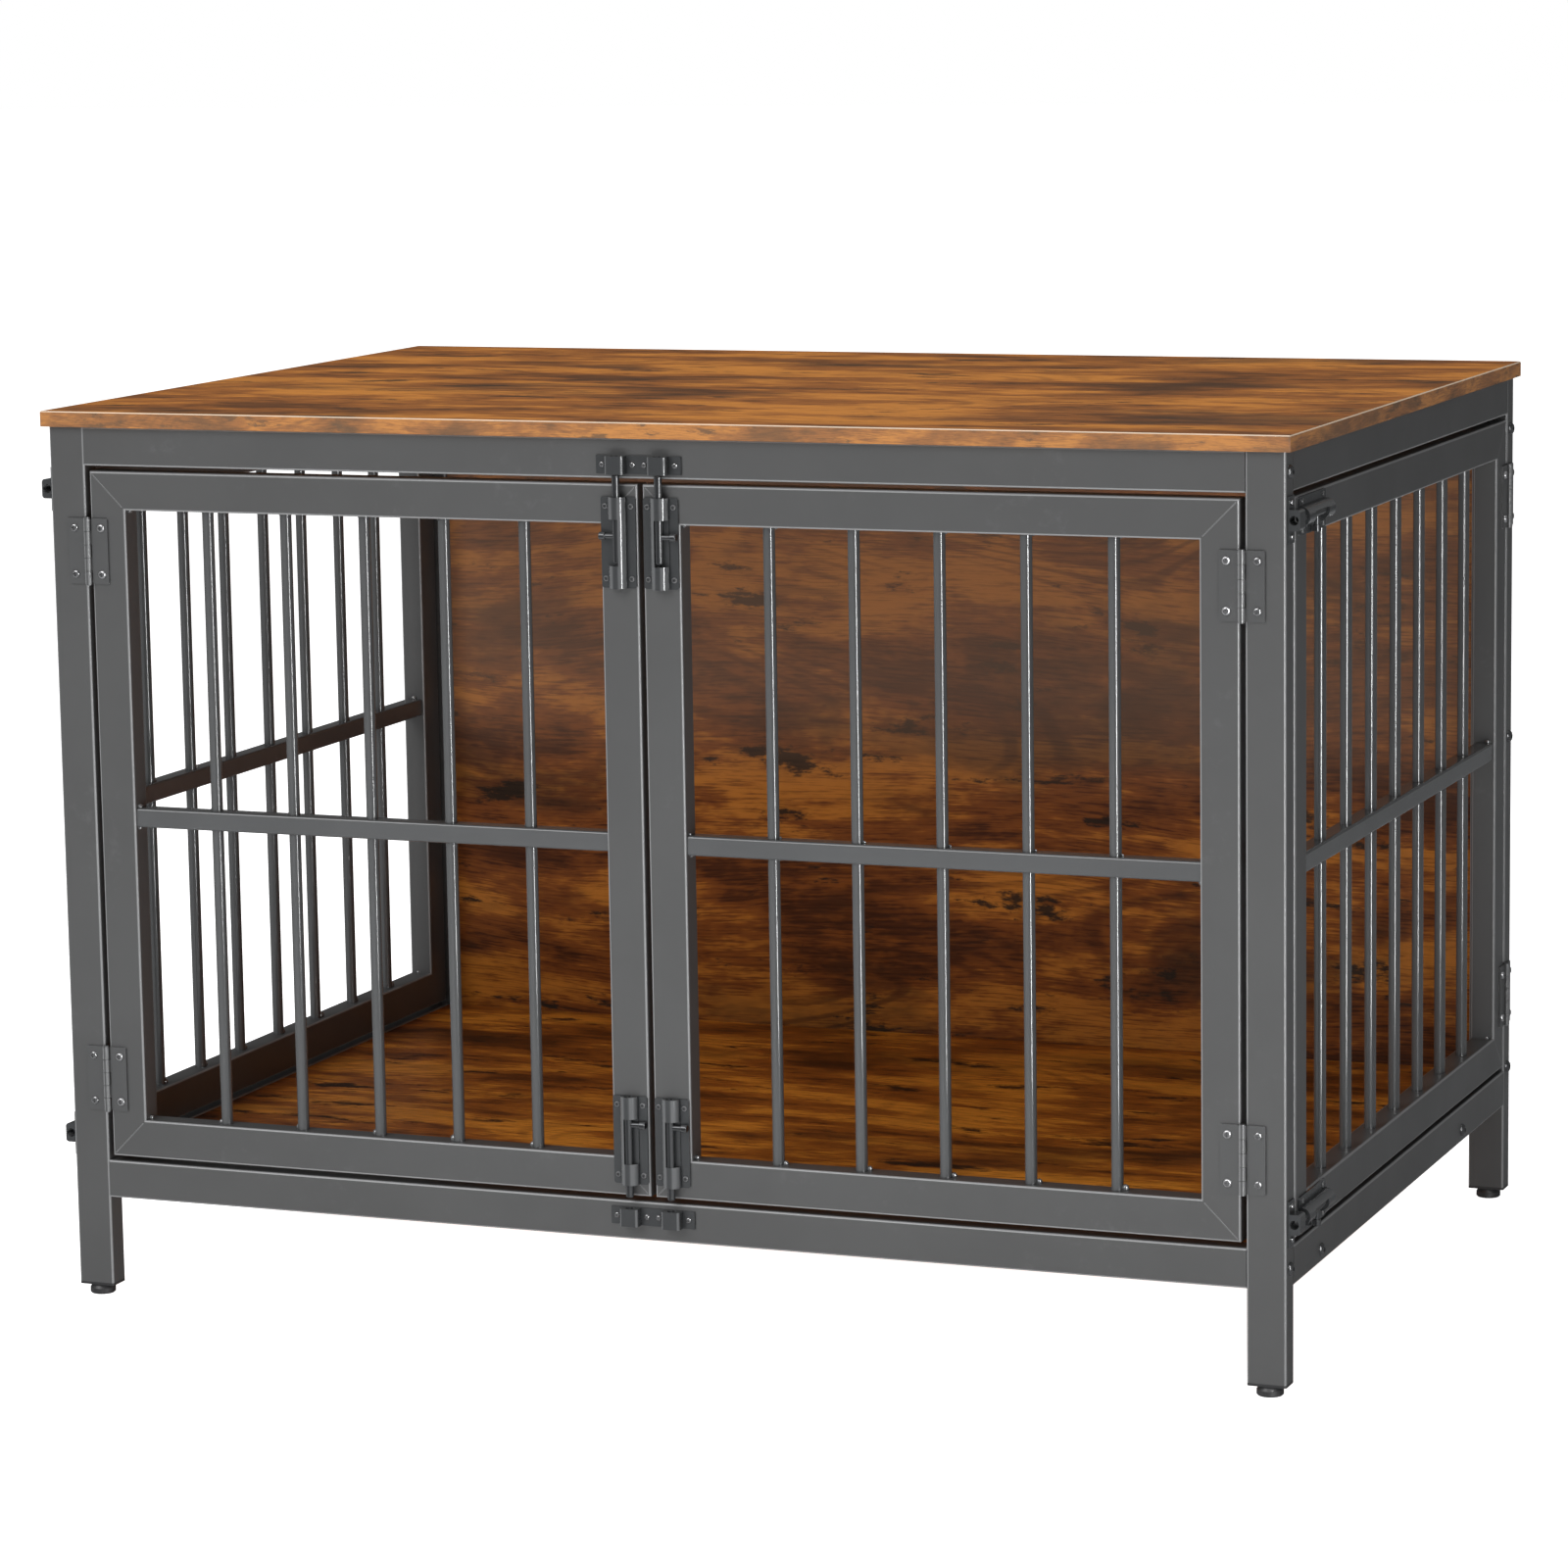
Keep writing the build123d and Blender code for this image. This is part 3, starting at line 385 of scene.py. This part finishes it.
# The banding is a duller print, and its bevelled top edge is lightened into a pale line, a painted
# highlight.
turned = node(tree, "ShaderNodeTexCoord").outputs["Normal"]
lift = node(tree, "ShaderNodeSeparateXYZ", {0: turned}).outputs["Z"]
bevel = maths(tree, "MULTIPLY", between(tree, lift, 0.3, 0.45), between(tree, lift, 0.95, 0.85))
banding = tint(tree, between(tree, lift, 0.3, 0.1, 0.0, 0.45), colour, (0.2, 0.12, 0.07, 1))
bevel_highlight = tint(tree, maths(tree, "MULTIPLY", bevel, 0.8), banding, (0.75, 0.62, 0.48, 1))
tree.links.new(bevel_highlight, shader["Base Color"])

PANEL_PRINT, tree, shader, colour = printed_board(
    "back_panel_print", 4.0, ((0.07, 0.017, 0.002), (0.2, 0.054, 0.006), (0.44, 0.15, 0.016)),
    (0.02, 0.011, 0.005), 0.6, 0.95, 0.6,
)
# The upper half of the panel is tinted greyer, a painted reflection of satin sheen.
panel_place = node(tree, "ShaderNodeTexCoord").outputs["Object"]
height = node(tree, "ShaderNodeSeparateXYZ", {0: panel_place}).outputs["Z"]
painted_sheen = between(tree, height, PAINTED_SHEEN_LOW, PAINTED_SHEEN_HIGH, 0.0, 0.3)
tree.links.new(tint(tree, painted_sheen, colour, (0.36, 0.24, 0.17, 1)), shader["Base Color"])

FLOOR_PRINT, _, _, _ = printed_board(
    "floor_print", 9.0, ((0.12, 0.033, 0.004), (0.37, 0.11, 0.012), (0.75, 0.28, 0.03)),
    (0.014, 0.008, 0.005), 0.5, 0.95, 0.3,
)


def finish_nodes(material, *names):
    """Gives CAD nodes their finish."""
    for name in names:
        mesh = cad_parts[name].data
        mesh.materials.clear()
        mesh.materials.append(material)


finish_nodes(FRAME_COAT, *[corner + "_post" for corner in CORNERS])
finish_nodes(FRAME_COAT, "front_top_rail", "front_bottom_rail", "floor_crossbars")
finish_nodes(FRAME_COAT, "left_side_rails", "right_side_rails")
finish_nodes(FRAME_COAT, *[door + "_frame" for door in DOORS])
finish_nodes(BAR_COAT, *[door + "_grille" for door in DOORS])
finish_nodes(HINGE_COAT, "hinge_frame_leaves", "hinge_pins")
finish_nodes(HINGE_COAT, *[door + "_hinge_leaves" for door in DOORS])
finish_nodes(LATCH_COAT, "bolt_keepers", *[door + "_bolt_housings" for door in DOORS])
finish_nodes(ROD_STEEL, *[bolt + part for bolt in BOLTS for part in ("_rod", "_knob")])
finish_nodes(ZINC, "frame_screws", "tabletop_screws")
finish_nodes(DOOR_SCREWS, *[door + "_screws" for door in DOORS])
finish_nodes(BLACK_BOLT, "frame_bolts")
finish_nodes(BLACK_PLASTIC, "leg_plugs", "threaded_plugs")
finish_nodes(BLACK_PLASTIC, *[corner + "_levelling_foot" for corner in CORNERS])
finish_nodes(TOP_PRINT, "tabletop")
finish_nodes(PANEL_PRINT, "back_panel")
finish_nodes(FLOOR_PRINT, "floor_board")


# ---------------------------------------------------------------- weld tacks and mitre seams
def door_lay(door):
    """The door's lay, width and height.

    The lay's origin is the outer face's lower left corner as seen from outside. Its x runs along
    the face, its y inwards and its z up.
    """
    low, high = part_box(door + "_frame")
    if high.x - low.x > high.y - low.y:
        return Matrix.Translation((low.x, low.y, low.z)), high.x - low.x, high.z - low.z
    on_right = low.x > 0
    corner = (high.x, low.y, low.z) if on_right else (low.x, high.y, low.z)
    turn = Matrix.Rotation(math.radians(90 if on_right else -90), 4, "Z")
    return Matrix.Translation(corner) @ turn, high.y - low.y, high.z - low.z


def add_tack(mesh, centre, size, rng):
    """One lump of weld: a small ball, squashed and made uneven."""
    ball = bmesh.ops.create_icosphere(mesh, subdivisions=2, radius=1.0)
    lumps = [Vector([rng.uniform(-1, 1) for _ in "xyz"]).normalized() for _ in range(4)]
    for vertex in ball["verts"]:
        swell = 1.0 + 0.22 * sum(max(0.0, vertex.co.dot(lump)) ** 3 for lump in lumps) / len(lumps)
        vertex.co = centre + Vector([vertex.co[i] * size[i] * swell for i in range(3)])


def add_ridge(mesh, start, end, outward, wide, high):
    """A low rounded ridge along a straight seam, closed at its ends."""
    run = (end - start).normalized()
    side = run.cross(outward) * (wide / 2)
    arch = ((-1.0, -0.4), (-0.8, 0.35), (0.0, 1.0), (0.8, 0.35), (1.0, -0.4))
    rings = []
    for point, share in ((start, 0.55), (start + run * wide, 1.0), (end - run * wide, 1.0), (end, 0.55)):
        places = [point + side * (a * share) + outward * (high * b * share) for a, b in arch]
        rings.append([mesh.verts.new(place) for place in places])
    for ring, following in zip(rings, rings[1:]):
        for i in range(len(arch)):
            j = (i + 1) % len(arch)
            mesh.faces.new((ring[i], ring[j], following[j], following[i]))
    mesh.faces.new(rings[0][::-1])
    mesh.faces.new(rings[-1])


def add_piece(name, mesh, material, body):
    """Closes a hand-made mesh into a named piece that rides on a body."""
    bmesh.ops.recalc_face_normals(mesh, faces=mesh.faces)
    data = bpy.data.meshes.new(name)
    mesh.to_mesh(data)
    mesh.free()
    data.polygons.foreach_set("use_smooth", [True] * len(data.polygons))
    data.materials.append(material)
    piece = bpy.data.objects.new(name, data)
    bpy.context.scene.collection.objects.link(piece)
    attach(piece, body)


for number, door in enumerate(DOORS):
    rng = random.Random(31 + number)
    lay, wide, tall = door_lay(door)
    bars = FRONT_BARS if "front" in door else SIDE_BARS
    toward_hinge = -1 if door in ("left_front_door", "left_side_door") else 1
    inside = wide - 2 * TUBE_WIDE
    middle = tall / 2
    tacks = bmesh.new()
    # Levels where a bar meets a rail, and the tack's size there: below zero under the rail.
    ends = (
        (TUBE_WIDE, 1.0),
        (middle - MID_RAIL / 2, -0.4),
        (middle + MID_RAIL / 2, 0.5),
        (tall - TUBE_WIDE, -0.5),
    )
    for k in range(bars):
        bar = TUBE_WIDE + inside * (k + 1) / (bars + 1)
        for level, grow in ends:
            size = TACK * abs(grow) * rng.uniform(0.85, 1.15)
            lift = size * 0.45 * (1 if grow > 0 else -1)
            beside = bar + toward_hinge * (BAR_R + size * 0.3)
            centre = Vector((beside, TUBE_DEEP / 2 + BAR_R * rng.uniform(0.1, 0.6), level + lift))
            add_tack(tacks, centre, (size, size * 0.9, size * rng.uniform(0.9, 1.3)), rng)
    for corner_u in (TUBE_WIDE, wide - TUBE_WIDE):
        inward = 1 if corner_u == TUBE_WIDE else -1
        for level in (TUBE_WIDE, middle - MID_RAIL / 2, middle + MID_RAIL / 2, tall - TUBE_WIDE):
            up = 1 if level in (TUBE_WIDE, middle + MID_RAIL / 2) else -1
            size = TACK * rng.uniform(0.6, 0.9)
            depth = TUBE_DEEP * rng.uniform(0.3, 0.5)
            centre = Vector((corner_u + inward * size * 0.25, depth, level + up * size * 0.3))
            add_tack(tacks, centre, (size, size * 1.2, size), rng)
    tacks.transform(lay)
    add_piece(door + "_weld_tacks", tacks, WELD, door)

    seams = bmesh.new()
    for u, du in ((0.0, 1), (wide, -1)):
        for v, dv in ((0.0, 1), (tall, -1)):
            toward_middle = Vector((du, 0, dv))
            start = Vector((u, 0, v)) + toward_middle * SEAM_INSET
            end = Vector((u, 0, v)) + toward_middle * (TUBE_WIDE - SEAM_INSET)
            add_ridge(seams, start, end, Vector((0, -1, 0)), SEAM_WIDE, SEAM_HIGH)
    seams.transform(lay)
    add_piece(door + "_mitre_seams", seams, FRAME_COAT, door)


# ---------------------------------------------------------------- studio
# The white room is brighter to the eye than as a light, and dimmer still in the crate's sheen, so
# that the soft boxes shape the crate.
FLOOR_SIDE = 30.0
FLOOR_SEEN = 1.0
FLOOR_GLOW = 0.5
ROOM_SEEN = 1.0
ROOM_GLOW = 0.3
ROOM_MIRRORED = 0.12
WHITE = (1.0, 1.0, 1.0, 1)
PALE = (0.9, 0.9, 0.9, 1)
PALE_MIRRORED = (0.3, 0.31, 0.32, 1)

floor_mesh = bmesh.new()
bmesh.ops.create_grid(floor_mesh, x_segments=1, y_segments=1, size=FLOOR_SIDE)
floor_data = bpy.data.meshes.new("studio_floor")
floor_mesh.to_mesh(floor_data)
floor_mesh.free()
studio_floor = bpy.data.objects.new("studio_floor", floor_data)
bpy.context.scene.collection.objects.link(studio_floor)
pale, tree, shader = new_material("pale_floor")
shader["Roughness"].default_value = 0.8
shader["Emission Color"].default_value = WHITE
rays = node(tree, "ShaderNodeLightPath").outputs
mirrored = rays["Is Glossy Ray"]
tree.links.new(tint(tree, mirrored, PALE, PALE_MIRRORED), shader["Base Color"])
glow = between(tree, rays["Is Camera Ray"], 0.0, 1.0, FLOOR_GLOW, FLOOR_SEEN)
glow = maths(tree, "MULTIPLY", glow, maths(tree, "SUBTRACT", 1.0, mirrored))
tree.links.new(glow, shader["Emission Strength"])
floor_data.materials.append(pale)

world = bpy.data.worlds.new("studio_white")
world.use_nodes = True
room = world.node_tree
rays = node(room, "ShaderNodeLightPath").outputs
glow = between(room, rays["Is Camera Ray"], 0.0, 1.0, ROOM_GLOW, ROOM_SEEN)
dimmed = between(room, rays["Is Glossy Ray"], 0.0, 1.0, 1.0, ROOM_MIRRORED / ROOM_GLOW)
background = room.nodes["Background"].inputs
room.links.new(maths(room, "MULTIPLY", glow, dimmed), background["Strength"])
background["Color"].default_value = WHITE
bpy.context.scene.world = world
bpy.context.scene.view_settings.view_transform = "Standard"

TARGET = Vector((0.0, 0.0, 0.4))


def soft_light(name, place, wide, tall, power, shading=True, gloss=True):
    """A soft box that faces the crate. It can leave out the shading or the highlights."""
    lamp = bpy.data.lights.new(name, "AREA")
    lamp.shape = "RECTANGLE"
    lamp.size, lamp.size_y = wide, tall
    lamp.energy = power
    box = bpy.data.objects.new(name, lamp)
    box.location = place
    box.rotation_euler = (TARGET - Vector(place)).to_track_quat("-Z", "Y").to_euler()
    box.visible_camera = False
    box.visible_diffuse = shading
    box.visible_glossy = gloss
    bpy.context.scene.collection.objects.link(box)


soft_light("key_softbox", (-1.8, -3.8, 3.2), 3.2, 3.2, 150.0)
soft_light("overhead_softbox", (0.0, 0.2, 3.4), 2.0, 2.0, 40.0)
soft_light("low_fill", (0.1, -1.3, 0.12), 1.8, 0.2, 7.5, gloss=False)
soft_light("front_strip", (1.05, -0.95, 0.5), 0.09, 1.5, 20.0, shading=False)
soft_light("side_strip", (2.9, -2.2, 0.9), 0.3, 2.4, 20.0, shading=False)

# ---------------------------------------------------------------- camera
SENSOR = 36.0
LENS = 121.05
STAND = Vector((1.528, -3.906, 1.04))
YAW, PITCH, ROLL = math.radians(21.64), math.radians(8.955), math.radians(-0.889)
ahead = Vector((-math.sin(YAW) * math.cos(PITCH), math.cos(YAW) * math.cos(PITCH), -math.sin(PITCH)))
level_right = Vector((math.cos(YAW), math.sin(YAW), 0))
level_up = level_right.cross(ahead)
right = level_right * math.cos(ROLL) + level_up * math.sin(ROLL)
up = level_up * math.cos(ROLL) - level_right * math.sin(ROLL)
camera_data = bpy.data.cameras.new("camera")
camera_data.lens = LENS
camera_data.sensor_width = SENSOR
camera = bpy.data.objects.new("camera", camera_data)
camera.matrix_world = Matrix.Translation(STAND) @ Matrix((right, up, -ahead)).transposed().to_4x4()
bpy.context.scene.collection.objects.link(camera)
bpy.context.scene.camera = camera
